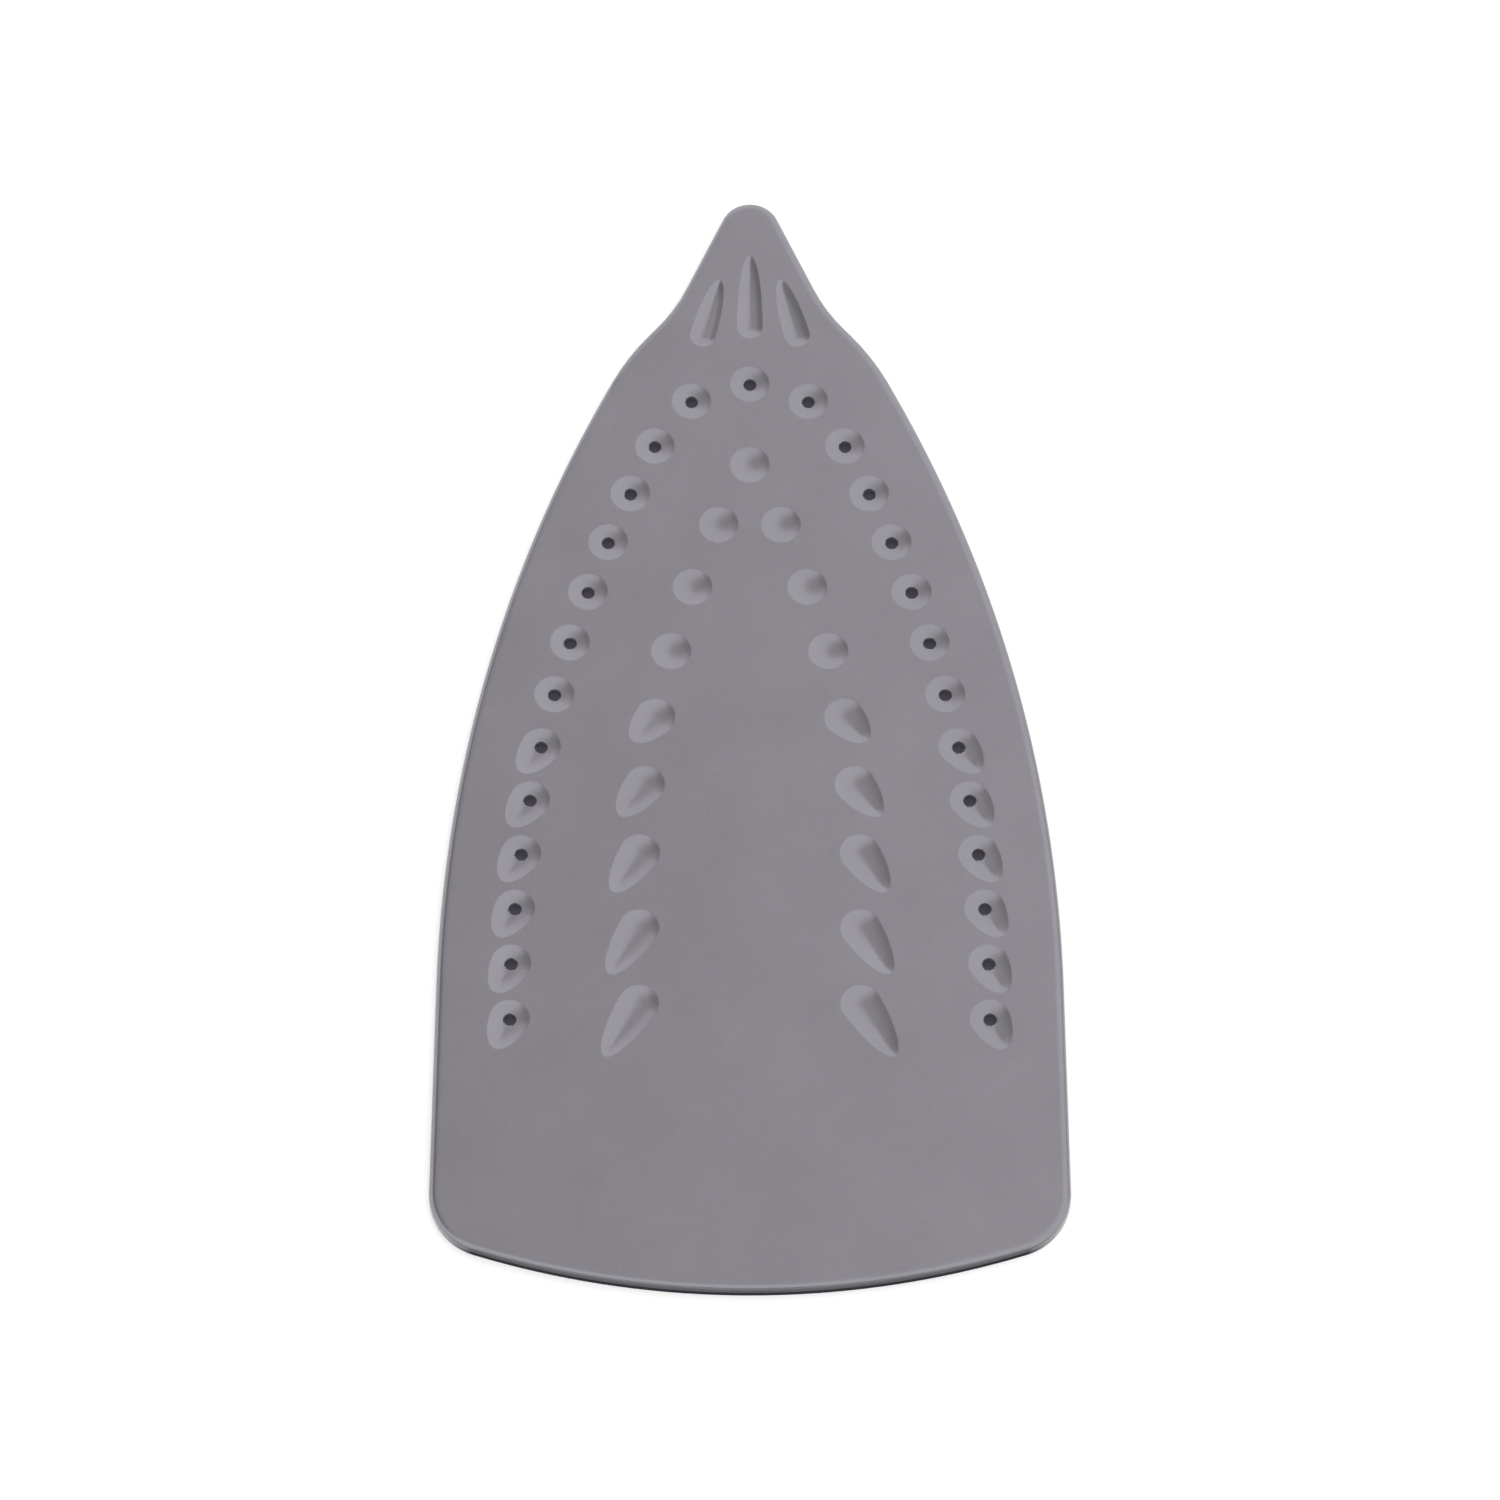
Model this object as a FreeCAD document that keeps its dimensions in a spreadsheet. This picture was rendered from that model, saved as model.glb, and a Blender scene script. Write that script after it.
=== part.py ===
import FreeCAD, Part
import math
import os
import Sketcher
from FreeCAD import Vector

# Soleplate of a steam iron: one plate pressed into a shallow pan, with the ironing face up, a
# turned-down rim, recesses pressed into the face and steam vents at the bottom of the outer row.
# +Y points to the tip, +Z out of the ironing face. The origin is on the rim's lower edge, midway
# between tip and heel. Lengths are in millimetres and angles in degrees.

SIZES = (
    # The plate
    ("plate_length", 222.5, "tip to heel"),
    ("plate_width", 116.6, "widest, across the heel corners"),
    ("rim_height", 3.3, "ironing face to the rim's lower edge"),
    ("wall", 1.6, "thickness of the face and the rim"),
    ("edge_radius", 1.4, "rounded edge from the face to the rim"),
    # The outline, from the tip round to the heel
    ("tip_radius", 5.75, "round tip"),
    ("nose_angle", 25.1, "nose flank to the centreline"),
    ("flank_length", 16.8, "straight nose flank"),
    ("neck_radius", 33.5, "hollow curve behind the nose"),
    ("flare_angle", 42.5, "steepest flare to the centreline"),
    ("flare_length", 2.0, "straight between neck and shoulder"),
    ("shoulder_radius", 45.4, "round shoulder"),
    ("rear_taper", 0.9, "rear sides to the centreline"),
    ("rear_straight", 40.6, "straight rear sides"),
    ("corner_radius", 11.8, "heel corners"),
    ("heel_radius", 165.0, "bowed heel"),
    # The outer row of recesses, each with a steam vent
    ("vent_bore", 2.3, "diameter of a vent"),
    ("vent_inset", 13.65, "row of vents in from the side of the plate"),
    ("vent_tip_gap", 39.25, "first vent to the tip"),
    ("vent_heel_gap", 53.2, "last vents to the heel"),
    ("vent_nose_pitch", 11.9, "between the vents round the nose"),
    ("vent_pitch", 11.02, "between the vents along the sides"),
    ("vent_tail", 6.6, "vent to the end of its recess, on the rear half of the plate"),
    ("vent_tail_radius", 1.35, "end of a vent's long recess"),
    ("vent_tail_angle", 25.0, "long recess outwards from the row"),
    # The inner row of recesses
    ("inner_width", 40.8, "between the straight ends of the two inner rows"),
    ("inner_radius", 185.0, "curved front of an inner row"),
    ("inner_tip_gap", 56.45, "first inner recess to the tip"),
    ("inner_pitch", 13.9, "between inner recesses on the curve"),
    ("inner_rear_pitch", 15.1, "between the rearmost inner recesses"),
    ("inner_tail", 6.5, "deepest point to the end of the first long recess"),
    ("inner_tail_step", 1.4, "each long recess over the one before"),
    ("inner_tail_radius", 1.8, "end of the first long recess"),
    ("inner_tail_sharpening", 0.32, "each end radius under the one before"),
    ("inner_tail_angle", 31.0, "long recess outwards from the row"),
    # The section of a recess
    ("recess_width", 7.4, "across the round end"),
    ("recess_depth", 0.55, "at the round end"),
    # The three grooves on the nose
    ("groove_width", 5.4, "across the round end"),
    ("groove_depth", 0.55, "at the round end"),
    ("groove_tip_gap", 26.65, "round end of the middle groove to the tip"),
    ("groove_length", 15.4, "middle groove, round end to point"),
    ("side_groove_tip_gap", 28.55, "round ends of the side grooves to the tip"),
    ("side_groove_spread", 18.1, "between the round ends of the side grooves"),
    ("side_groove_length", 12.0, "side groove, round end to point"),
    ("side_groove_angle", 14.3, "side groove to the centreline"),
    ("groove_point_radius", 0.45, "point of a groove"),
)

# Recesses that are counted, not measured
ROUND_VENTS_A_SIDE = 7
ROUND_INNER_STEPS = 3
CURVED_INNER_STEPS = 6
INNER_STEPS = 8

doc = FreeCAD.newDocument("soleplate")


def make_sheet():
    """Keep each driving size in a cell of its own, with its name as the alias."""
    sheet = doc.addObject("Spreadsheet::Sheet", "sizes")
    for row, (alias, value, note) in enumerate(SIZES, start=1):
        sheet.set(f"A{row}", note)
        sheet.set(f"B{row}", str(value))
        sheet.setAlias(f"B{row}", alias)
    doc.recompute()
    return sheet


sizes = make_sheet()


def size(alias):
    return float(sizes.get(alias))


def outward(angle):
    """Unit vector square to an edge that runs rearwards at this angle to the centreline."""
    return Vector(math.cos(angle), math.sin(angle), 0)


def rearward(angle):
    """Unit vector along such an edge."""
    return Vector(math.sin(angle), -math.cos(angle), 0)


class Outline:
    """Right half of the plate's outline: tangent arcs and lines, found from the driving sizes."""

    def __init__(self):
        self.nose = math.radians(size("nose_angle"))
        self.flare = math.radians(size("flare_angle"))
        self.taper = math.radians(size("rear_taper"))
        self.tip_y = size("plate_length") / 2
        self.heel_y = -self.tip_y
        self.trace_front()
        self.trace_rear()
        self.join_with_side_arc()

    def trace_front(self):
        """Tip, flank, neck, flare and the centre of the shoulder."""
        tip_radius = size("tip_radius")
        self.tip_centre = Vector(0, self.tip_y - tip_radius, 0)
        self.flank_start = self.tip_centre + outward(self.nose) * tip_radius
        self.flank_end = self.flank_start + rearward(self.nose) * size("flank_length")
        self.neck_centre = self.flank_end + outward(self.nose) * size("neck_radius")
        self.flare_start = self.neck_centre - outward(self.flare) * size("neck_radius")
        self.flare_end = self.flare_start + rearward(self.flare) * size("flare_length")
        self.shoulder_centre = self.flare_end - outward(self.flare) * size("shoulder_radius")

    def trace_rear(self):
        """Heel, corner and the straight rear side."""
        heel_radius = size("heel_radius")
        corner_radius = size("corner_radius")
        self.heel_centre = Vector(0, self.heel_y + heel_radius, 0)
        corner_x = size("plate_width") / 2 - corner_radius
        drop = math.sqrt((heel_radius - corner_radius) ** 2 - corner_x ** 2)
        self.corner_centre = Vector(corner_x, self.heel_centre.y - drop, 0)
        self.heel_angle = math.atan2(-drop, corner_x)
        self.straight_end = self.corner_centre + outward(self.taper) * corner_radius
        self.straight_start = self.straight_end - rearward(self.taper) * size("rear_straight")

    def join_with_side_arc(self):
        """The side is the one arc tangent to both the shoulder and the straight rear side."""
        shoulder_radius = size("shoulder_radius")
        reach = self.straight_start - self.shoulder_centre
        across = reach.dot(outward(self.taper)) - shoulder_radius
        self.side_radius = (reach.dot(reach) - shoulder_radius ** 2) / (2 * across)
        self.side_centre = self.straight_start - outward(self.taper) * self.side_radius
        to_shoulder = self.shoulder_centre - self.side_centre
        self.shoulder_angle = math.atan2(to_shoulder.y, to_shoulder.x)


outline = Outline()


# The outer form of the plate, and the inner form that hollows it

def origin_plane(body, role):
    return next(plane for plane in body.Origin.OriginFeatures if plane.Role == role)


def draw_half_outline(sketch, inset, inset_term):
    """Draw the right half of the outline, moved in by the inset, and dimension it from the sheet."""

    def arc(centre, radius, start, end):
        circle = Part.Circle(centre, Vector(0, 0, 1), radius)
        return sketch.addGeometry(Part.ArcOfCircle(circle, start, end))

    def line(rear_end, front_end, angle):
        shift = outward(angle) * inset
        return sketch.addGeometry(Part.LineSegment(rear_end - shift, front_end - shift))

    def dimension(kind, name, value, formula, *places):
        index = sketch.addConstraint(Sketcher.Constraint(kind, *places, value))
        sketch.renameConstraint(index, name)
        sketch.setExpression(f"Constraints.{name}", formula)

    o = outline
    tip = arc(o.tip_centre, size("tip_radius") - inset, o.nose, math.pi / 2)
    flank = line(o.flank_end, o.flank_start, o.nose)
    neck = arc(o.neck_centre, size("neck_radius") + inset, math.pi + o.nose, math.pi + o.flare)
    flare = line(o.flare_end, o.flare_start, o.flare)
    shoulder = arc(o.shoulder_centre, size("shoulder_radius") - inset, o.shoulder_angle, o.flare)
    side = arc(o.side_centre, o.side_radius - inset, o.taper, o.shoulder_angle)
    straight = line(o.straight_end, o.straight_start, o.taper)
    corner = arc(o.corner_centre, size("corner_radius") - inset, o.heel_angle, o.taper)
    heel = arc(o.heel_centre, size("heel_radius") - inset, -math.pi / 2, o.heel_angle)
    tip_point = Vector(0, o.tip_y - inset, 0)
    heel_point = Vector(0, o.heel_y + inset, 0)
    centreline = sketch.addGeometry(Part.LineSegment(heel_point, tip_point))

    # Each edge runs on smoothly into the next
    start, end, centre = 1, 2, 3
    joints = (
        (tip, start, flank, end),
        (flank, start, neck, start),
        (neck, end, flare, end),
        (flare, start, shoulder, end),
        (shoulder, start, side, end),
        (side, start, straight, end),
        (straight, start, corner, end),
        (corner, start, heel, end),
    )
    for joint in joints:
        sketch.addConstraint(Sketcher.Constraint("Tangent", *joint))

    # The half is closed along the centreline
    root, vertical_axis = -1, -2
    sketch.addConstraint(Sketcher.Constraint("Coincident", tip, end, centreline, end))
    sketch.addConstraint(Sketcher.Constraint("Coincident", heel, start, centreline, start))
    on_axis = ((centreline, start), (centreline, end), (tip, centre), (heel, centre))
    for edge, point in on_axis:
        sketch.addConstraint(Sketcher.Constraint("PointOnObject", edge, point, vertical_axis))

    half_length = size("plate_length") / 2 - inset
    half_term = f"sizes.plate_length / 2 - {inset_term}"
    dimension("DistanceY", "tip_reach", half_length, half_term, root, start, tip, end)
    dimension("DistanceY", "heel_reach", half_length, half_term, heel, start, root, start)
    corner_x = outline.corner_centre.x
    corner_term = "sizes.plate_width / 2 - sizes.corner_radius"
    dimension("DistanceX", "corner_reach", corner_x, corner_term, root, start, corner, centre)
    for name, edge, sign in (
        ("tip_radius", tip, "-"),
        ("neck_radius", neck, "+"),
        ("shoulder_radius", shoulder, "-"),
        ("corner_radius", corner, "-"),
        ("heel_radius", heel, "-"),
    ):
        radius = sketch.Geometry[edge].Radius
        dimension("Radius", name, radius, f"sizes.{name} {sign} {inset_term}", edge)
    for name, edge in (("nose_angle", flank), ("flare_angle", flare), ("rear_taper", straight)):
        angle = math.pi / 2 + math.radians(size(name))
        dimension("Angle", name, angle, f"90 + sizes.{name}", edge)
    for name, edge in (("flank_length", flank), ("flare_length", flare), ("rear_straight", straight)):
        dimension("Distance", name, size(name), f"sizes.{name}", edge)


def make_block(name, inset_size, height_formula):
    """A block of the plate's outline, moved in by the named size, if there is one."""
    body = doc.addObject("PartDesign::Body", name)
    sketch = body.newObject("Sketcher::SketchObject", f"{name}_outline")
    sketch.AttachmentSupport = (origin_plane(body, "XY_Plane"), [""])
    sketch.MapMode = "FlatFace"
    inset = size(inset_size) if inset_size else 0.0
    draw_half_outline(sketch, inset, f"sizes.{inset_size}" if inset_size else "0")
    half = body.newObject("PartDesign::Pad", f"{name}_half")
    half.Profile = sketch
    half.setExpression("Length", height_formula)
    doc.recompute()
    whole = body.newObject("PartDesign::Mirrored", f"{name}_whole")
    whole.Originals = [half]
    whole.MirrorPlane = (origin_plane(body, "YZ_Plane"), [""])
    body.Tip = whole
    doc.recompute()
    return body


def round_top_edge(body, radius_formula):
    """Round the edge all round the block's upper face."""
    block = body.Tip
    faces = block.Shape.Faces
    top = max(range(len(faces)), key=lambda number: faces[number].CenterOfMass.z)
    rounded = body.newObject("PartDesign::Fillet", f"{body.Name}_edge")
    rounded.Base = (block, [f"Face{top + 1}"])
    rounded.setExpression("Radius", radius_formula)
    body.Tip = rounded
    doc.recompute()


outer_form = make_block("outer_form", None, "sizes.rim_height")
round_top_edge(outer_form, "sizes.edge_radius")
inner_form = make_block("inner_form", "wall", "sizes.rim_height - sizes.wall")


# The recesses

class Recess:
    """A pressed hollow: round, or with a tail that narrows and rises to the face."""

    def __init__(self, place, section, tail=0.0, tail_radius=0.0, heading=0.0):
        self.place = place
        self.section = section
        self.tail = tail
        self.tail_radius = tail_radius
        self.heading = heading

    def mirrored(self):
        twin = Vector(-self.place.x, self.place.y, 0)
        return Recess(twin, self.section, self.tail, self.tail_radius, -self.heading)

    def punch(self):
        """A ball that makes the round end, drawn out to a smaller ball where there is a tail."""
        radius = size(f"{self.section}_width") / 2
        depth = size(f"{self.section}_depth")
        ball = (radius ** 2 + depth ** 2) / (2 * depth)
        face = self.place + Vector(0, 0, size("rim_height"))
        height = Vector(0, 0, ball - depth)
        if not self.tail:
            return Part.makeSphere(ball, face + height, Vector(0, 1, 0))
        shrink = self.tail_radius / radius
        tail_face = face + rearward(self.heading) * (self.tail - self.tail_radius)
        return drawn_ball(face + height, ball, tail_face + height * shrink, ball * shrink)


def drawn_ball(centre, ball, tail_centre, tail_ball):
    """The solid swept by a ball that shrinks evenly on its straight way to the tail's centre."""
    reach = tail_centre - centre
    along = reach / reach.Length
    across = along.cross(Vector(0, 0, 1)).normalize()
    lean = math.asin((ball - tail_ball) / reach.Length)
    touching = along * math.sin(lean) + across * math.cos(lean)
    back = centre - along * ball
    front = tail_centre + along * tail_ball
    halfway_back = (touching - along).normalize()
    halfway_front = (touching + along).normalize()
    round_touch = centre + touching * ball
    tail_touch = tail_centre + touching * tail_ball
    profile = (
        Part.Arc(back, centre + halfway_back * ball, round_touch),
        Part.LineSegment(round_touch, tail_touch),
        Part.Arc(tail_touch, tail_centre + halfway_front * tail_ball, front),
        Part.LineSegment(front, back),
    )
    half_section = Part.Face(Part.Wire([edge.toShape() for edge in profile]))
    return half_section.revolve(centre, along, 360)


def vent_row(distance):
    """Place and heading on the right-hand row of vents, this far along it from the nose.

    The row runs parallel to the plate's side, and turns over the centreline on an arc that is
    tangent to it and tops out at the first vent.
    """
    row_radius = outline.side_radius - size("vent_inset")
    top_y = outline.tip_y - size("vent_tip_gap")
    centre = outline.side_centre
    rise = top_y - centre.y
    nose_radius = (row_radius ** 2 - centre.x ** 2 - rise ** 2) / (2 * (row_radius - rise))
    nose_centre = Vector(0, top_y - nose_radius, 0)
    to_nose = nose_centre - centre
    meeting_angle = math.atan2(to_nose.y, to_nose.x)
    nose_length = nose_radius * (math.pi / 2 - meeting_angle)
    if distance <= nose_length:
        angle = math.pi / 2 - distance / nose_radius
        return nose_centre + outward(angle) * nose_radius, angle
    angle = meeting_angle - (distance - nose_length) / row_radius
    return centre + outward(angle) * row_radius, angle


def vent_recesses():
    """The first vent's recess on the centreline, then those of the right-hand side."""
    last_y = outline.heel_y + size("vent_heel_gap")
    recesses = [Recess(vent_row(0)[0], "recess")]
    distance = 0.0
    for step in (1, 2):
        distance = step * size("vent_nose_pitch")
        recesses.append(Recess(vent_row(distance)[0], "recess"))
    place, heading = vent_row(distance + size("vent_pitch"))
    while place.y > last_y - size("vent_pitch") / 2:
        distance += size("vent_pitch")
        if len(recesses) <= ROUND_VENTS_A_SIDE:
            recesses.append(Recess(place, "recess"))
        else:
            heading += math.radians(size("vent_tail_angle"))
            tail = (size("vent_tail"), size("vent_tail_radius"), heading)
            recesses.append(Recess(place, "recess", *tail))
        place, heading = vent_row(distance + size("vent_pitch"))
    return recesses


def inner_row(distance):
    """Place and heading on the right-hand inner row: an arc off the centreline, then straight back."""
    radius = size("inner_radius")
    half_width = size("inner_width") / 2
    first_angle = math.acos(1 - half_width / radius)
    first_y = outline.tip_y - size("inner_tip_gap")
    straight_y = first_y - radius * math.sin(first_angle)
    angle = first_angle - distance / radius
    if angle >= 0:
        centre = Vector(half_width - radius, straight_y, 0)
        return centre + outward(angle) * radius, angle
    return Vector(half_width, straight_y + angle * radius, 0), 0.0


def inner_recesses():
    """The first inner recess on the centreline, then those of the right-hand side."""
    recesses = []
    for step in range(INNER_STEPS + 1):
        rear_steps = max(0, step - CURVED_INNER_STEPS)
        distance = (step - rear_steps) * size("inner_pitch") + rear_steps * size("inner_rear_pitch")
        place, heading = inner_row(distance)
        growth = step - ROUND_INNER_STEPS - 1
        if growth < 0:
            recesses.append(Recess(place, "recess"))
            continue
        tail = size("inner_tail") + growth * size("inner_tail_step")
        tail_radius = size("inner_tail_radius") - growth * size("inner_tail_sharpening")
        heading += math.radians(size("inner_tail_angle"))
        recesses.append(Recess(place, "recess", tail, tail_radius, heading))
    return recesses


def groove_recesses():
    """The middle groove on the nose, then the right-hand one. Both point to the tip."""
    point_radius = size("groove_point_radius")
    middle_place = Vector(0, outline.tip_y - size("groove_tip_gap"), 0)
    middle = Recess(middle_place, "groove", size("groove_length"), point_radius, math.pi)
    side_y = outline.tip_y - size("side_groove_tip_gap")
    side_place = Vector(size("side_groove_spread") / 2, side_y, 0)
    lean = math.pi + math.radians(size("side_groove_angle"))
    side = Recess(side_place, "groove", size("side_groove_length"), point_radius, lean)
    return [middle, side]


def both_sides(recesses):
    """The first of a group lies on the centreline, and the others have a twin across it."""
    return recesses[:1] + [twin for r in recesses[1:] for twin in (r, r.mirrored())]


vents = both_sides(vent_recesses())
recesses = vents + both_sides(inner_recesses()) + both_sides(groove_recesses())


def make_punches():
    """All the recess tools as one solid group."""
    tools = [recess.punch() for recess in recesses]
    punches = doc.addObject("Part::Feature", "recess_punches")
    punches.Shape = Part.makeCompound(tools)
    return punches


# The soleplate: pressed, hollowed and pierced by the vents

def cut(name, base, tool):
    result = doc.addObject("Part::Cut", name)
    result.Base = base
    result.Tool = tool
    doc.recompute()
    return result


def make_vent_drill(number, vent):
    drill = doc.addObject("Part::Cylinder", f"vent_drill_{number}")
    drill.setExpression("Radius", "sizes.vent_bore / 2")
    drill.setExpression("Height", "sizes.rim_height + sizes.wall")
    drill.Placement.Base = vent.place
    return drill


pan = cut("pan", outer_form, inner_form)
pressed_pan = cut("pressed_pan", pan, make_punches())
drills = doc.addObject("Part::Compound", "vent_drills")
drills.Links = [make_vent_drill(number, vent) for number, vent in enumerate(vents, start=1)]
soleplate = cut("soleplate", pressed_pan, drills)
soleplate.Label = "soleplate"
soleplate.Placement = FreeCAD.Placement()
doc.recompute()


def check_document():
    """Stop before anything is written if an object failed or the plate isn't one sound solid."""
    for item in doc.Objects:
        if "Invalid" in item.State or "Error" in item.State:
            raise RuntimeError(f"{item.Name} failed: {item.State}")
    for item in (outer_form, inner_form, pan, pressed_pan, soleplate):
        if item.Shape.isNull() or not item.Shape.isValid():
            raise RuntimeError(f"{item.Name} has no valid shape")
    if len(soleplate.Shape.Solids) != 1:
        raise RuntimeError(f"the soleplate is {len(soleplate.Shape.Solids)} solids")
    volumes = [item.Shape.Volume for item in (soleplate, pressed_pan, pan, outer_form)]
    if volumes != sorted(set(volumes)):
        raise RuntimeError("a cut removed nothing")


check_document()
os.makedirs("parts", exist_ok=True)
soleplate.Shape.exportStep(f"parts/{soleplate.Label}.step")
box = soleplate.Shape.optimalBoundingBox()
print(f"soleplate {box.XLength:.2f} x {box.YLength:.2f} x {box.ZLength:.2f} mm")
print(f"side radius {outline.side_radius:.1f} mm, {len(vents)} vents, {len(recesses)} recesses")
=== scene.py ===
import math
import bpy
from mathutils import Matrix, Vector
from mathutils.geometry import delaunay_2d_cdt


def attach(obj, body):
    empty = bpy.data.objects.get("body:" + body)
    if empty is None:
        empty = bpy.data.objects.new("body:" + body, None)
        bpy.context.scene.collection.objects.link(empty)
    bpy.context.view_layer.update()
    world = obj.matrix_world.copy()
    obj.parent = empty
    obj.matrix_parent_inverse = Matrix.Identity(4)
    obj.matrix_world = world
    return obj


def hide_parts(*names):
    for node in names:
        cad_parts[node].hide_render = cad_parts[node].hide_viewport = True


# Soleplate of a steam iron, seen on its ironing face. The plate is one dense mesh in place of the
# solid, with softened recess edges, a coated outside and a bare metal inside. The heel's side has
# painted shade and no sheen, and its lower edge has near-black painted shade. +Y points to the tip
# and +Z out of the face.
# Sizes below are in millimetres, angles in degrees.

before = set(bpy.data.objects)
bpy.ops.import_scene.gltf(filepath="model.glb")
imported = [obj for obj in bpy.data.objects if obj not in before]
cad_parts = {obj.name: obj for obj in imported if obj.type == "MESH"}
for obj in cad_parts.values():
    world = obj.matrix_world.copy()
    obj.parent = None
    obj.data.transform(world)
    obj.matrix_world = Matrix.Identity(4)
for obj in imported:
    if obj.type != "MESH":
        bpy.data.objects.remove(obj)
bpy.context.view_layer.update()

MM = 0.001

# The plate
PLATE_LENGTH = 222.5
PLATE_WIDTH = 116.6
RIM_HEIGHT = 3.3
WALL = 1.6
EDGE_RADIUS = 1.4
HEEL_EDGE_RADIUS = 0.9
LOWER_EDGE_RADIUS = 0.08

# The outline, from the tip round to the heel
TIP_RADIUS = 5.75
NOSE_ANGLE = 25.1
FLANK_LENGTH = 16.8
NECK_RADIUS = 33.5
FLARE_ANGLE = 42.5
FLARE_LENGTH = 2.0
SHOULDER_RADIUS = 45.4
REAR_TAPER = 0.9
REAR_STRAIGHT = 40.6
CORNER_RADIUS = 11.8
HEEL_RADIUS = 165.0

# The outer row of recesses, each with a steam vent
VENT_BORE = 2.3
VENT_INSET = 13.65
VENT_TIP_GAP = 39.25
VENT_NOSE_PITCH = 11.9
VENT_PITCH = 11.02
NOSE_VENT_STEPS = 2
VENTS_A_SIDE = 13
ROUND_VENTS_A_SIDE = 7
VENT_TAIL = 6.4
VENT_TAIL_ANGLE = 25.0

# The inner row of recesses
INNER_WIDTH = 40.8
INNER_RADIUS = 185.0
INNER_TIP_GAP = 56.45
INNER_PITCH = 13.9
INNER_REAR_PITCH = 15.1
ROUND_INNER_STEPS = 3
CURVED_INNER_STEPS = 6
INNER_STEPS = 8
INNER_TAIL = 6.4
INNER_TAIL_STEP = 1.4
INNER_TAIL_ANGLE = 31.0

# The grooves on the nose
GROOVE_TIP_GAP = 27.1
GROOVE_LENGTH = 15.4
SIDE_GROOVE_TIP_GAP = 28.85
SIDE_GROOVE_SPREAD = 18.0
SIDE_GROOVE_LENGTH = 12.3
SIDE_GROOVE_ANGLE = 15.2

# The section of a recess: part of a ball, with a softened edge
RECESS_WIDTH = 7.4
GROOVE_WIDTH = 4.8
RECESS_DEPTH = 0.55
TAIL_TAPER = 0.14
SOFTNESS = 0.035

# Fineness of the mesh: steps round the outline and its edge, the flat strip inside that edge, the
# strip round a vent that has no other points, then the points of a recess
ARC_STEP = 3.0
ARC_STEP_ANGLE = 5.0
EDGE_ROWS = 8
FLAT_MARGIN = 0.3
VENT_MARGIN = 0.12
RING_POINTS = 40
TAIL_RING_POINTS = 72
RING_SOFT_STEPS = 2
RING_WALL_STEPS = 8

# Filling the face: which triangles to make, points that count as one, and the share of a vent's
# radius within which a triangle's middle lies in the vent
FILL_INSIDE = 1
MERGE_DISTANCE = 1e-5
VENT_SHARE = 0.98

# Edges that turn by more than this stay sharp in the shading
SHARP_ANGLE = 40.0

# The coating: darkest and lightest tones of the face, of the painted shade on the heel's side and
# of the near-black painted shade on its lower edge
COATING_TONES = (133, 131, 137), (143, 140, 147)
HEEL_SHADE_TONES = (97, 95, 100), (107, 105, 110)
HEEL_DEEP_SHADE_TONES = (50, 48, 54), (60, 58, 64)
COATING_ROUGHNESS = 0.2, 0.26
METAL_SHARE = 0.6
SPECULAR_LEVEL = 0.5
GRAIN_SIZE = 0.35
GRAIN_DETAIL = 3.0
GRAIN_BUMP = 0.12
CLOUD_SIZE = 18.0
CLOUD_DETAIL = 4.0
SHADE_RANGE = 0.6, 1.4

# The painted shade on the heel's side, where its sheen is also taken away, and the near-black
# painted shade on its lower edge: their tops and where they end
HEEL_SHADE_HEIGHT = 2.85
HEEL_DEEP_SHADE_HEIGHT = 1.55
HEEL_TOP_FADE = 0.1
HEEL_EDGE_WIDTH = 107.0
HEEL_CORNER_FADE = 3.0
HEEL_FRONT_SHARE = 0.8
HEEL_FRONT_FADE = 2.0

# The bare metal inside, with its rolling marks
BARE_TONES = (168, 167, 168), (190, 189, 190)
BARE_ROUGHNESS = 0.38, 0.52
MARK_SIZE = 0.4
MARK_DETAIL = 4.0
MARK_BUMP = 0.1
MARK_STRETCH = (1.0, 0.04, 1.0)

# Noise and relief of both surfaces
NOISE_ROUGHNESS = 0.6
BUMP_HEIGHT = 0.02

# The camera, fitted to the plate's outline and vents in the picture
CAMERA_TILT = 24.36
CAMERA_DISTANCE = 1423.7
CAMERA_AIM = (0.0, -4.47, 3.3)
SENSOR = 36.0
PICTURE_WIDTH_AT_AIM = 279.15

# The stage: a white floor, a darker sheet under the plate as painted shade, and a white sky
FLOOR_WIDTH = 6000.0
FLOOR_COLOUR = (0.86, 0.86, 0.86, 1.0)
FLOOR_GLOW = 0.35
FLOOR_ROUGHNESS = 0.9
# Painted shade seen through the vents: the dark, faintly glowing sheet under the plate
VENT_SHADE_COLOUR = (0.2, 0.18, 0.24, 1.0)
VENT_SHADE_GLOW = 0.1
UNDER_HEIGHT = 0.02
SKY_COLOUR = (1.0, 1.0, 1.0, 1.0)
SKY_STRENGTH = 1.3

# Dark cards in the sky: slope and facing of the surfaces that mirror a card's middle, its radius,
# and the share of the light that it leaves
CARDS = (
    # Gentle recess walls that face left
    (6.5, 195.0, 14.0, 0.42),
    # Steep ones that face left and a little to the heel
    (22.5, 204.0, 20.5, 0.2),
    # Steep ones that face left and a little to the tip
    (23.0, 172.0, 16.0, 0.25),
    # The rounded edge of the right-hand side
    (45.0, 0.0, 14.0, 0.2),
    # The rounded edge of the heel
    (57.0, -90.0, 27.0, 0.2),
)
CARD_SOFTNESS = 4.0


def outward(angle):
    """Unit vector square to an edge of the right-hand side that runs rearwards at this angle."""
    return Vector((math.cos(angle), math.sin(angle)))


def rearward(angle):
    """Unit vector along such an edge."""
    return Vector((math.sin(angle), -math.cos(angle)))


def mirrored(vector):
    """The same place or direction on the other side of the centreline."""
    return Vector((-vector.x, vector.y))


# The outline

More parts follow.
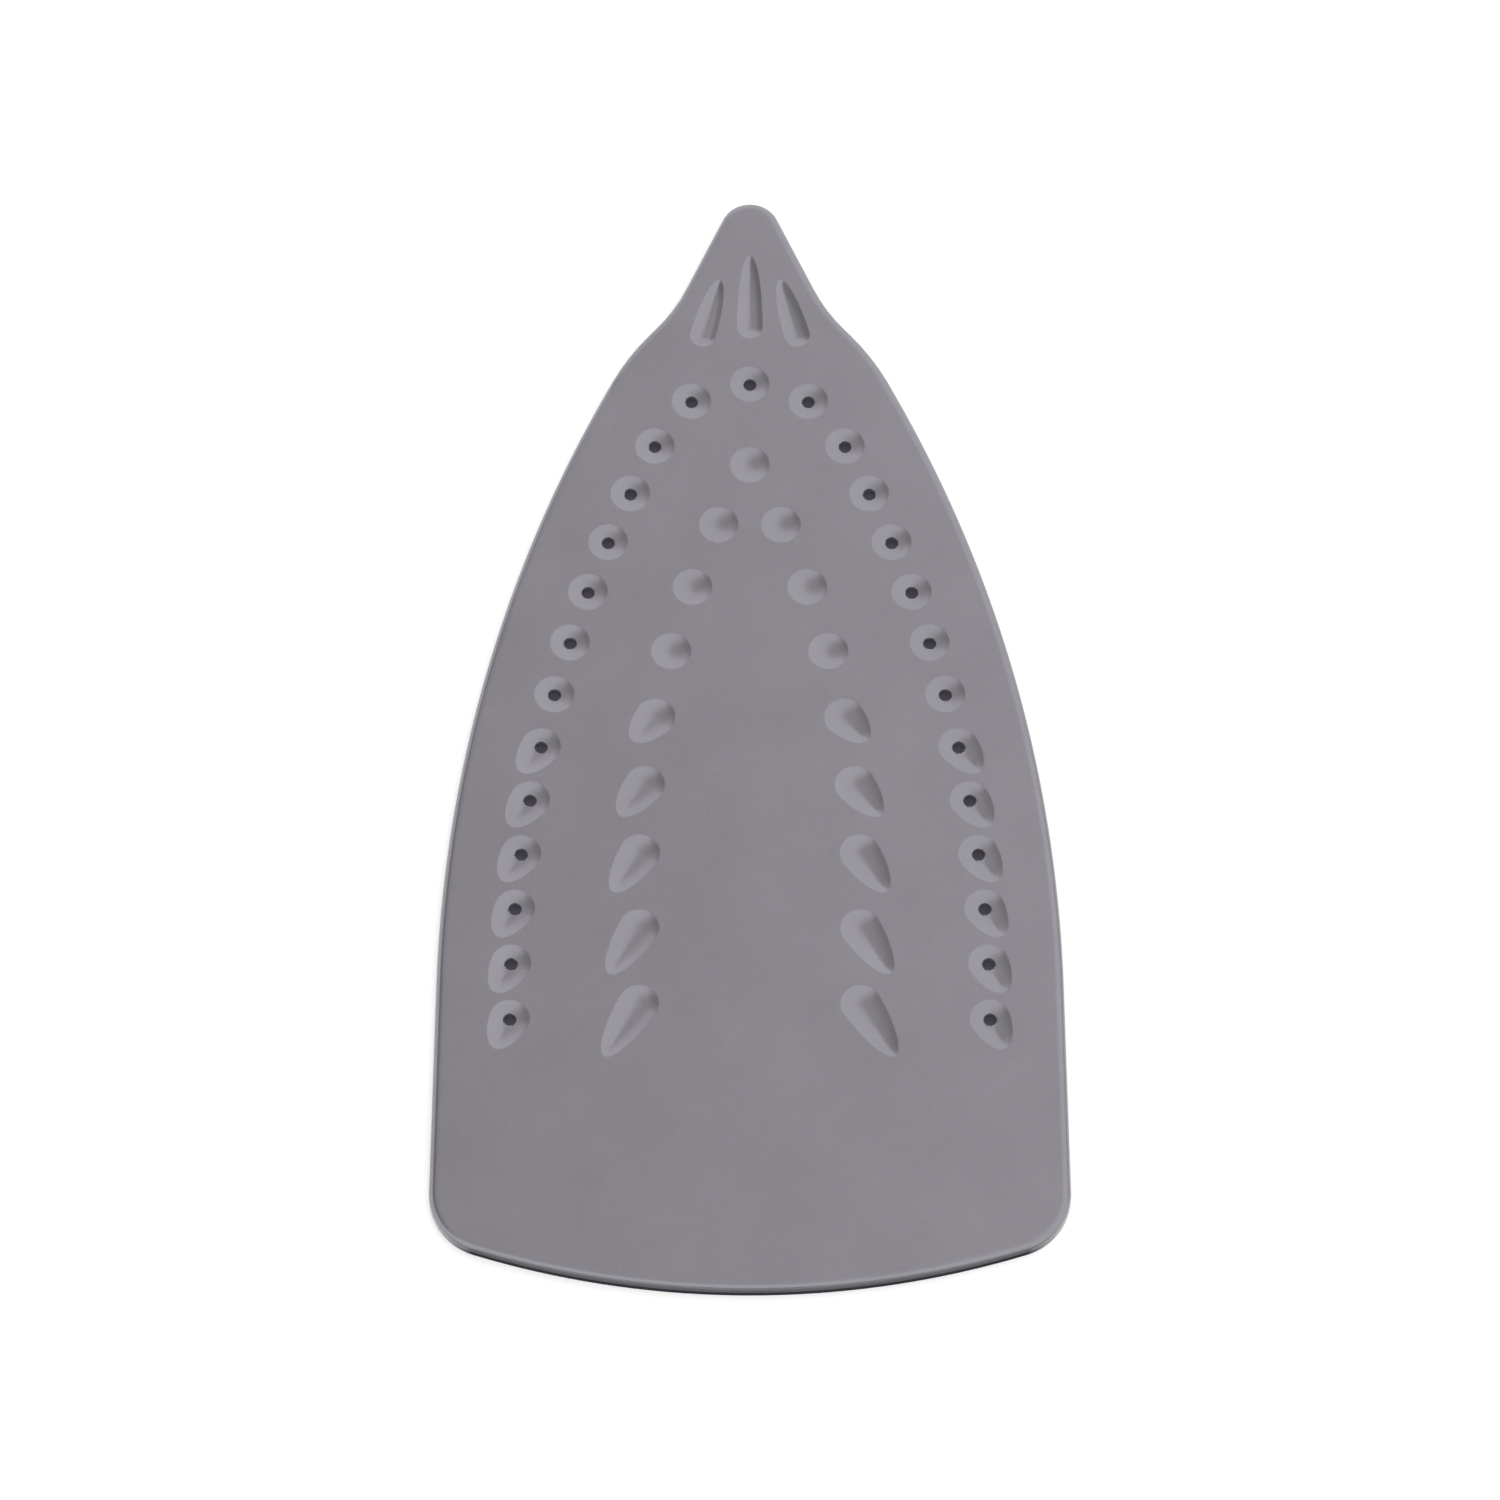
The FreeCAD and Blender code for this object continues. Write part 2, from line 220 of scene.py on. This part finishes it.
class Outline:
    """Right half of the plate's outline, as arcs that run on into each other or into lines."""

    def __init__(self):
        nose = math.radians(NOSE_ANGLE)
        flare = math.radians(FLARE_ANGLE)
        taper = math.radians(REAR_TAPER)
        self.tip_y = PLATE_LENGTH / 2

        tip_centre = Vector((0, self.tip_y - TIP_RADIUS))
        flank_end = tip_centre + outward(nose) * TIP_RADIUS + rearward(nose) * FLANK_LENGTH
        neck_centre = flank_end + outward(nose) * NECK_RADIUS
        flare_end = neck_centre - outward(flare) * NECK_RADIUS + rearward(flare) * FLARE_LENGTH
        shoulder_centre = flare_end - outward(flare) * SHOULDER_RADIUS

        heel_centre = Vector((0, HEEL_RADIUS - self.tip_y))
        corner_x = PLATE_WIDTH / 2 - CORNER_RADIUS
        drop = math.sqrt((HEEL_RADIUS - CORNER_RADIUS) ** 2 - corner_x ** 2)
        corner_centre = Vector((corner_x, heel_centre.y - drop))
        heel_angle = math.atan2(-drop, corner_x)
        straight_end = corner_centre + outward(taper) * CORNER_RADIUS
        straight_start = straight_end - rearward(taper) * REAR_STRAIGHT

        # The side is the one arc tangent to both the shoulder and the straight rear side
        reach = straight_start - shoulder_centre
        across = reach.dot(outward(taper)) - SHOULDER_RADIUS
        self.side_radius = (reach.length_squared - SHOULDER_RADIUS ** 2) / (2 * across)
        self.side_centre = straight_start - outward(taper) * self.side_radius
        to_shoulder = shoulder_centre - self.side_centre
        shoulder_angle = math.atan2(to_shoulder.y, to_shoulder.x)

        # The neck curves the other way, so its radius is negative
        self.arcs = (
            (tip_centre, TIP_RADIUS, math.pi / 2, nose),
            (neck_centre, -NECK_RADIUS, nose, flare),
            (shoulder_centre, SHOULDER_RADIUS, flare, shoulder_angle),
            (self.side_centre, self.side_radius, shoulder_angle, taper),
            (corner_centre, CORNER_RADIUS, taper, heel_angle),
            (heel_centre, HEEL_RADIUS, heel_angle, -math.pi / 2),
        )

    def loop(self):
        """Points all round the plate, each with its outward direction."""
        right = []
        for centre, radius, first, last in self.arcs:
            sweep = last - first
            by_length = abs(radius * sweep) / ARC_STEP
            by_angle = abs(math.degrees(sweep)) / ARC_STEP_ANGLE
            steps = math.ceil(max(by_length, by_angle, 1))
            for step in range(steps + 1):
                normal = outward(first + sweep * step / steps)
                right.append((centre + normal * radius, normal))
        left = [(mirrored(point), mirrored(normal)) for point, normal in reversed(right[1:-1])]
        return right + left


outline = Outline()


# The recesses

class Recess:
    """A pressed hollow: round, or with one half drawn out to a tail. Its rings have even depth."""

    def __init__(self, place, width=RECESS_WIDTH, tail=0.0, taper=0.0, heading=0.0, vent=False):
        self.place = place
        self.width = width
        self.tail = tail
        self.taper = taper
        self.heading = heading
        self.vent = vent
        self.ball_radius = (width ** 2 / 4 + RECESS_DEPTH ** 2) / (2 * RECESS_DEPTH)

    def mirrored(self):
        twin = mirrored(self.place)
        return Recess(twin, self.width, self.tail, self.taper, -self.heading, self.vent)

    def depth(self, offset):
        """Depth of the ring that lies this far inside the outline, rounded off at the outline."""
        reach = self.width / 2 - offset
        hollow = math.sqrt(self.ball_radius ** 2 - reach ** 2) - self.ball_radius + RECESS_DEPTH
        nearness = max(SOFTNESS - abs(hollow), 0) / SOFTNESS
        return max(hollow, 0) + SOFTNESS * nearness ** 2 / 4

    def offsets(self):
        """How far in the rings lie: close together at the soft edge, then evenly to the middle."""
        half_width = self.width / 2
        edge_slope = half_width / (self.ball_radius - RECESS_DEPTH)
        step = SOFTNESS / edge_slope / RING_SOFT_STEPS
        near = [step * number for number in range(-RING_SOFT_STEPS - 1, RING_SOFT_STEPS + 2)]
        far = [half_width * number / RING_WALL_STEPS for number in range(1, RING_WALL_STEPS)]
        return near + far

    def spokes(self):
        """Points round the outline, each with its inward direction and its way to the middle line."""
        half_width = self.width / 2
        count = TAIL_RING_POINTS if self.tail else RING_POINTS
        along = rearward(self.heading)
        across = outward(self.heading)
        for step in range(count):
            turn = 2 * math.pi * step / count
            ahead = math.cos(turn)
            aside = math.sin(turn)
            in_tail = self.tail and ahead > 0
            length = self.tail if in_tail else half_width
            taper = self.taper if in_tail else 0.0
            breadth = half_width * (1 - taper * ahead)
            edge = self.place + along * (length * ahead) + across * (breadth * aside)
            forward = half_width * (ahead - taper * math.cos(2 * turn))
            slant = along * forward + across * (length * aside)
            yield edge, -slant.normalized(), breadth * slant.length / length

    def ring(self, offset):
        """The outline moved in by the offset, without the points that reach the middle line."""
        half_step = self.width / RING_WALL_STEPS / 4
        return [
            edge + inward * offset
            for edge, inward, way in self.spokes()
            if offset < way - half_step
        ]

    def valley(self):
        """Points along the middle line of the tail, from a quarter of the spokes, with their depth."""
        ends = list(self.spokes())[:TAIL_RING_POINTS // 4] if self.tail else []
        return [(edge + inward * way, self.depth(way)) for edge, inward, way in ends]

    def vent_loop(self):
        turns = (2 * math.pi * step / RING_POINTS for step in range(RING_POINTS))
        return [self.place + outward(turn) * (VENT_BORE / 2) for turn in turns]


def vent_row(distance):
    """Place and heading this far along the right-hand row of vents.

    The row follows the plate's side, and an arc joins it to the first vent on the centreline.
    """
    row_radius = outline.side_radius - VENT_INSET
    top_y = outline.tip_y - VENT_TIP_GAP
    centre = outline.side_centre
    rise = top_y - centre.y
    nose_radius = (row_radius ** 2 - centre.x ** 2 - rise ** 2) / (2 * (row_radius - rise))
    nose_centre = Vector((0, top_y - nose_radius))
    to_nose = nose_centre - centre
    meeting_angle = math.atan2(to_nose.y, to_nose.x)
    nose_length = nose_radius * (math.pi / 2 - meeting_angle)
    if distance <= nose_length:
        angle = math.pi / 2 - distance / nose_radius
        return nose_centre + outward(angle) * nose_radius, angle
    angle = meeting_angle - (distance - nose_length) / row_radius
    return centre + outward(angle) * row_radius, angle


def vent_recesses():
    """The first vent's recess on the centreline, then those of the right-hand side."""
    recesses = [Recess(vent_row(0)[0], vent=True)]
    for step in range(1, VENTS_A_SIDE + 1):
        nose_steps = min(step, NOSE_VENT_STEPS)
        distance = nose_steps * VENT_NOSE_PITCH + (step - nose_steps) * VENT_PITCH
        place, heading = vent_row(distance)
        if step <= ROUND_VENTS_A_SIDE:
            recesses.append(Recess(place, vent=True))
        else:
            heading += math.radians(VENT_TAIL_ANGLE)
            recesses.append(Recess(place, RECESS_WIDTH, VENT_TAIL, TAIL_TAPER, heading, True))
    return recesses


def inner_row(distance):
    """Place and heading on the right-hand inner row: an arc off the centreline, then straight."""
    first_angle = math.acos(1 - INNER_WIDTH / 2 / INNER_RADIUS)
    straight_y = outline.tip_y - INNER_TIP_GAP - INNER_RADIUS * math.sin(first_angle)
    angle = first_angle - distance / INNER_RADIUS
    if angle >= 0:
        centre = Vector((INNER_WIDTH / 2 - INNER_RADIUS, straight_y))
        return centre + outward(angle) * INNER_RADIUS, angle
    return Vector((INNER_WIDTH / 2, straight_y + angle * INNER_RADIUS)), 0.0


def inner_recesses():
    """The first inner recess on the centreline, then those of the right-hand side."""
    recesses = []
    for step in range(INNER_STEPS + 1):
        rear_steps = max(0, step - CURVED_INNER_STEPS)
        distance = (step - rear_steps) * INNER_PITCH + rear_steps * INNER_REAR_PITCH
        place, heading = inner_row(distance)
        growth = step - ROUND_INNER_STEPS - 1
        if growth < 0:
            recesses.append(Recess(place))
        else:
            tail = INNER_TAIL + growth * INNER_TAIL_STEP
            heading += math.radians(INNER_TAIL_ANGLE)
            recesses.append(Recess(place, RECESS_WIDTH, tail, TAIL_TAPER, heading))
    return recesses


def groove_recesses():
    """The middle groove on the nose, then the right-hand one. Their tails run towards the tip."""
    middle = Vector((0, outline.tip_y - GROOVE_TIP_GAP))
    side = Vector((SIDE_GROOVE_SPREAD / 2, outline.tip_y - SIDE_GROOVE_TIP_GAP))
    lean = math.pi + math.radians(SIDE_GROOVE_ANGLE)
    return [
        Recess(middle, GROOVE_WIDTH, GROOVE_LENGTH, heading=math.pi),
        Recess(side, GROOVE_WIDTH, SIDE_GROOVE_LENGTH, heading=lean),
    ]


def both_sides(recesses):
    """The first of a group lies on the centreline, and the others have a twin across it."""
    return recesses[:1] + [twin for recess in recesses[1:] for twin in (recess, recess.mirrored())]


# The mesh of the plate

COATED, BARE = range(2)


def flat_of(point):
    """A mesh point seen from above, in millimetres."""
    return Vector(point[:2]) / MM


def middle_of(places):
    return sum(places, Vector((0, 0))) / len(places)


class PlateMesh:
    """Points, faces and each face's material, gathered from the loops round the plate."""

    def __init__(self):
        self.points = []
        self.faces = []
        self.materials = []

    def add_points(self, places, height):
        first = len(self.points)
        self.points += [(place.x * MM, place.y * MM, height * MM) for place in places]
        return list(range(first, len(self.points)))

    def add_faces(self, faces, material):
        self.faces += faces
        self.materials += [material] * len(faces)

    def band(self, upper, lower, material):
        """Quads between two closed loops of the same count."""
        next_upper = upper[1:] + upper[:1]
        next_lower = lower[1:] + lower[:1]
        self.add_faces(list(zip(upper, lower, next_lower, next_upper)), material)

    def fill(self, border, holes, others, material, downward=False):
        """Triangles between the border loop and the vents' loops, through all the other points."""
        used = border + [index for hole in holes for index in hole] + others
        flat = [flat_of(self.points[index]) for index in used]
        edges = []
        start = 0
        for loop in [border] + holes:
            numbers = list(range(start, start + len(loop)))
            edges += list(zip(numbers, numbers[1:] + numbers[:1]))
            start += len(loop)
        result = delaunay_2d_cdt(flat, edges, [], FILL_INSIDE, MERGE_DISTANCE)
        places, triangles, origins = result[0], result[2], result[3]
        hole_centres = [middle_of([flat_of(self.points[index]) for index in hole]) for hole in holes]
        faces = []
        for triangle in triangles:
            centre = middle_of([places[corner] for corner in triangle])
            if any((centre - hole).length < VENT_BORE / 2 * VENT_SHARE for hole in hole_centres):
                continue
            corners = [used[origins[corner][0]] for corner in triangle]
            faces.append(tuple(reversed(corners)) if downward else tuple(corners))
        self.add_faces(faces, material)


def build_plate(recesses):
    """The whole plate as one closed mesh: face, rounded edge, rim, inside and vents."""
    mesh = PlateMesh()
    loop = outline.loop()

    def ring_at(inset, height):
        return mesh.add_points([point - normal * inset for point, normal in loop], height)

    def edge_ring(turn):
        """Ring on the rounded edge, sharper at the heel. Turn 0 is at the face, a right angle at the rim."""
        ring = []
        for point, normal in loop:
            heelward = max(0, -normal.y) ** 2
            radius = EDGE_RADIUS + (HEEL_EDGE_RADIUS - EDGE_RADIUS) * heelward
            inset = radius * (1 - math.sin(turn))
            height = RIM_HEIGHT - radius * (1 - math.cos(turn))
            ring += mesh.add_points([point - normal * inset], height)
        return ring

    # Face
    face_border = edge_ring(0)
    upper_vents = []
    hollow_points = []
    for recess in recesses:
        bottoms = [
            (place, recess.depth(offset))
            for offset in recess.offsets()
            for place in recess.ring(offset)
        ]
        for place, depth in bottoms + recess.valley():
            if recess.vent and (place - recess.place).length < VENT_BORE / 2 + VENT_MARGIN:
                continue
            hollow_points += mesh.add_points([place], RIM_HEIGHT - depth)
        if recess.vent:
            vent_depth = recess.depth((RECESS_WIDTH - VENT_BORE) / 2)
            upper_vents.append(mesh.add_points(recess.vent_loop(), RIM_HEIGHT - vent_depth))
    flat_border = ring_at(EDGE_RADIUS + FLAT_MARGIN, RIM_HEIGHT)
    mesh.band(flat_border, face_border, COATED)
    mesh.fill(flat_border, upper_vents, hollow_points, COATED)

    # Rounded edge, rim and its lower edge
    previous = face_border
    for row in range(1, EDGE_ROWS + 1):
        current = edge_ring(math.pi / 2 * row / EDGE_ROWS)
        mesh.band(previous, current, COATED)
        previous = current
    for inset, height, material in (
        (0.0, LOWER_EDGE_RADIUS, COATED),
        (LOWER_EDGE_RADIUS, 0.0, COATED),
        (WALL, 0.0, BARE),
        (WALL, RIM_HEIGHT - WALL, BARE),
    ):
        current = ring_at(inset, height)
        mesh.band(previous, current, material)
        previous = current

    # Inside, and the walls of the vents
    vents = [recess for recess in recesses if recess.vent]
    lower_vents = [mesh.add_points(vent.vent_loop(), RIM_HEIGHT - WALL) for vent in vents]
    mesh.fill(previous, lower_vents, [], BARE, downward=True)
    for upper, lower in zip(upper_vents, lower_vents):
        mesh.band(list(reversed(upper)), list(reversed(lower)), COATED)
    return mesh


def make_plate(materials):
    groups = vent_recesses(), inner_recesses(), groove_recesses()
    built = build_plate([recess for group in groups for recess in both_sides(group)])
    data = bpy.data.meshes.new("plate")
    data.from_pydata(built.points, [], built.faces)
    for material in materials:
        data.materials.append(material)
    data.polygons.foreach_set("material_index", built.materials)
    data.polygons.foreach_set("use_smooth", [True] * len(built.faces))
    data.set_sharp_from_angle(angle=math.radians(SHARP_ANGLE))
    data.validate()
    data.update()
    plate = bpy.data.objects.new("plate", data)
    bpy.context.collection.objects.link(plate)
    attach(plate, "root")
    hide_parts("soleplate")


# The materials

def linear(*channels):
    """Colour of 0 to 255 screen values as the linear light that shaders take, by the sRGB curve."""
    def one(channel):
        share = channel / 255
        return share / 12.92 if share <= 0.04045 else ((share + 0.055) / 1.055) ** 2.4
    return tuple(one(channel) for channel in channels) + (1.0,)


class Nodes:
    """Short names for the few steps that the materials are made of."""

    def __init__(self, name):
        self.material = bpy.data.materials.new(name)
        self.material.use_nodes = True
        self.tree = self.material.node_tree
        self.shader = self.tree.nodes["Principled BSDF"]

    def feed(self, value, socket):
        """Link another node's output to the socket, or set a constant on it."""
        if isinstance(value, bpy.types.NodeSocket):
            self.tree.links.new(value, socket)
        else:
            socket.default_value = value

    def add(self, kind, inputs=None, **settings):
        node = self.tree.nodes.new(kind)
        for setting, value in settings.items():
            setattr(node, setting, value)
        for socket, value in (inputs or {}).items():
            self.feed(value, node.inputs[socket])
        return node

    def link(self, output, socket):
        self.tree.links.new(output, self.shader.inputs[socket])

    def speckle(self, place, size, detail):
        """Fine noise with grains of this size in millimetres, from 0 to 1."""
        scale = 1 / (size * MM)
        inputs = {"Vector": place, "Scale": scale, "Detail": detail, "Roughness": NOISE_ROUGHNESS}
        return self.add("ShaderNodeTexNoise", inputs).outputs["Fac"]

    def between(self, share, low, high):
        """Colour that goes from low to high with the share."""
        mix = self.add("ShaderNodeMix", data_type="RGBA")
        ends = [socket for socket in mix.inputs if socket.type == "RGBA"]
        self.tree.links.new(share, mix.inputs["Factor"])
        for socket, value in zip(ends, (low, high)):
            self.feed(value, socket)
        return next(socket for socket in mix.outputs if socket.type == "RGBA")

    def tones(self, share, ends):
        """Colour between two screen tones."""
        low, high = ends
        return self.between(share, linear(*low), linear(*high))

    def span(self, value, low, high, first=0.0, last=1.0):
        """Number that goes from low to high while the value goes from first to last."""
        inputs = {"Value": value, "From Min": first, "From Max": last, "To Min": low, "To Max": high}
        return self.add("ShaderNodeMapRange", inputs).outputs["Result"]

    def fade(self, length, limit, softness):
        """1 below this limit, falling to 0 above it. Limit and softness are in millimetres."""
        return self.span(length, 1.0, 0.0, (limit - softness) * MM, (limit + softness) * MM)

    def maths(self, operation, *values):
        inputs = dict(enumerate(values))
        return self.add("ShaderNodeMath", inputs, operation=operation).outputs["Value"]

    def bump(self, height, strength):
        inputs = {"Height": height, "Strength": strength, "Distance": BUMP_HEIGHT * MM}
        self.link(self.add("ShaderNodeBump", inputs).outputs["Normal"], "Normal")


def make_coating():
    """Satin grey coating with a fine sprayed grain and cloudy patches, with painted shade at the heel."""
    nodes = Nodes("coating")
    place = nodes.add("ShaderNodeTexCoord").outputs["Object"]
    grain = nodes.speckle(place, GRAIN_SIZE, GRAIN_DETAIL)
    clouds = nodes.speckle(place, CLOUD_SIZE, CLOUD_DETAIL)
    share = nodes.span(nodes.maths("ADD", grain, clouds), 0.0, 1.0, *SHADE_RANGE)
    grey = nodes.tones(share, COATING_TONES)
    shaded_grey = nodes.tones(share, HEEL_SHADE_TONES)
    deep_shade_grey = nodes.tones(grain, HEEL_DEEP_SHADE_TONES)
    # Painted shade at the heel: a darker grey without sheen on its side, near-black on its lower edge
    dull, dark = painted_heel_shade(nodes, place)
    nodes.link(nodes.between(dark, nodes.between(dull, grey, shaded_grey), deep_shade_grey), "Base Color")
    nodes.link(nodes.span(grain, *COATING_ROUGHNESS), "Roughness")
    nodes.link(nodes.span(dull, METAL_SHARE, 0.0), "Metallic")
    nodes.link(nodes.span(dull, SPECULAR_LEVEL, 0.0), "Specular IOR Level")
    nodes.bump(grain, GRAIN_BUMP)
    return nodes.material


def painted_heel_shade(nodes, place):
    """Shares of the painted shade on the heel's side, which also loses its sheen, and of the near-black
    painted shade on its lower edge, up to its corners.
    """
    axes = nodes.add("ShaderNodeSeparateXYZ", {"Vector": place}).outputs
    aside = nodes.maths("ABSOLUTE", axes["X"])
    middle = nodes.fade(aside, HEEL_EDGE_WIDTH / 2, HEEL_CORNER_FADE)
    rear = nodes.fade(axes["Y"], -PLATE_LENGTH / 2 * HEEL_FRONT_SHARE, HEEL_FRONT_FADE)
    heel = nodes.maths("MULTIPLY", middle, rear)
    dull = nodes.maths("MULTIPLY", heel, nodes.fade(axes["Z"], HEEL_SHADE_HEIGHT, HEEL_TOP_FADE))
    dark = nodes.maths("MULTIPLY", heel, nodes.fade(axes["Z"], HEEL_DEEP_SHADE_HEIGHT, HEEL_TOP_FADE))
    return dull, dark


def make_bare_metal():
    """Uncoated inside: dull aluminium with faint rolling marks along the plate."""
    nodes = Nodes("bare_metal")
    place = nodes.add("ShaderNodeTexCoord").outputs["Object"]
    stretch = {"Vector": place, "Scale": MARK_STRETCH}
    stretched = nodes.add("ShaderNodeMapping", stretch).outputs["Vector"]
    marks = nodes.speckle(stretched, MARK_SIZE, MARK_DETAIL)
    nodes.link(nodes.tones(marks, BARE_TONES), "Base Color")
    nodes.link(nodes.span(marks, *BARE_ROUGHNESS), "Roughness")
    nodes.shader.inputs["Metallic"].default_value = 1.0
    nodes.bump(marks, MARK_BUMP)
    return nodes.material


def make_floor_paper(colour, glow):
    """Matt paper. Its glow whitens it for the camera and in mirrors, and lights no matt surface."""
    nodes = Nodes("floor_paper")
    nodes.shader.inputs["Base Color"].default_value = colour
    nodes.shader.inputs["Roughness"].default_value = FLOOR_ROUGHNESS
    nodes.shader.inputs["Emission Color"].default_value = colour
    path = nodes.add("ShaderNodeLightPath").outputs
    seen = nodes.maths("ADD", path["Is Camera Ray"], path["Is Glossy Ray"])
    seen = nodes.maths("ADD", seen, path["Is Transmission Ray"])
    nodes.link(nodes.span(seen, 0.0, glow), "Emission Strength")
    return nodes.material


# The stage

def make_stage_sheet(name, corners, height, material):
    data = bpy.data.meshes.new(name)
    data.from_pydata([(x * MM, y * MM, height * MM) for x, y in corners], [], [range(len(corners))])
    data.materials.append(material)
    sheet = bpy.data.objects.new(name, data)
    bpy.context.collection.objects.link(sheet)


def make_floor():
    """A wide floor, and under the plate a darker, faintly glowing sheet as painted shade, so that the vents
    look dark.
    """
    half = FLOOR_WIDTH / 2
    corners = [(half, half), (-half, half), (-half, -half), (half, -half)]
    make_stage_sheet("floor", corners, 0.0, make_floor_paper(FLOOR_COLOUR, FLOOR_GLOW))
    inside = [tuple(point - normal * WALL / 2) for point, normal in outline.loop()]
    # The sheet under the plate is painted shade, darker than the floor and faintly glowing
    vent_shade_paper = make_floor_paper(VENT_SHADE_COLOUR, VENT_SHADE_GLOW)
    make_stage_sheet("painted_shade_under_plate", inside, UNDER_HEIGHT, vent_shade_paper)


def to_camera():
    """Direction from the plate to the camera."""
    tilt = math.radians(CAMERA_TILT)
    return Vector((0, -math.sin(tilt), math.cos(tilt)))


def mirrored_view(slope, lean):
    """Direction that a surface of this slope, facing this way round, mirrors to the camera."""
    view = to_camera()
    slope = math.radians(slope)
    lean = math.radians(lean)
    flat = math.sin(slope)
    normal = Vector((flat * math.cos(lean), flat * math.sin(lean), math.cos(slope)))
    return 2 * normal.dot(view) * normal - view


def make_sky():
    """White studio tent with dark cards, each a soft-edged round in the sky."""
    world = bpy.context.scene.world or bpy.data.worlds.new("sky")
    bpy.context.scene.world = world
    world.use_nodes = True
    tree = world.node_tree
    sky = tree.nodes["Background"]
    sky.inputs["Color"].default_value = SKY_COLOUR
    direction = tree.nodes.new("ShaderNodeTexCoord").outputs["Generated"]
    light = None
    for slope, lean, radius, share in CARDS:
        nearness = tree.nodes.new("ShaderNodeVectorMath")
        nearness.operation = "DOT_PRODUCT"
        tree.links.new(direction, nearness.inputs[0])
        nearness.inputs[1].default_value = mirrored_view(slope, lean)
        card = tree.nodes.new("ShaderNodeMapRange")
        tree.links.new(nearness.outputs["Value"], card.inputs["Value"])
        card.inputs["From Min"].default_value = math.cos(math.radians(radius + CARD_SOFTNESS))
        card.inputs["From Max"].default_value = math.cos(math.radians(radius - CARD_SOFTNESS))
        card.inputs["To Min"].default_value = 1.0
        card.inputs["To Max"].default_value = share
        product = tree.nodes.new("ShaderNodeMath")
        product.operation = "MULTIPLY"
        tree.links.new(card.outputs["Result"], product.inputs[0])
        # The first card dims the sky itself, and each later one what the cards before it leave
        product.inputs[1].default_value = SKY_STRENGTH
        if light:
            tree.links.new(light, product.inputs[1])
        light = product.outputs["Value"]
    tree.links.new(light, sky.inputs["Strength"])


def make_camera():
    data = bpy.data.cameras.new("camera")
    data.sensor_width = SENSOR
    data.lens = SENSOR * CAMERA_DISTANCE / PICTURE_WIDTH_AT_AIM
    camera = bpy.data.objects.new("camera", data)
    camera.location = (Vector(CAMERA_AIM) + to_camera() * CAMERA_DISTANCE) * MM
    camera.rotation_euler = (math.radians(CAMERA_TILT), 0, 0)
    bpy.context.collection.objects.link(camera)
    bpy.context.scene.camera = camera


make_plate([make_coating(), make_bare_metal()])
make_floor()
make_sky()
make_camera()
bpy.context.scene.view_settings.view_transform = "Standard"
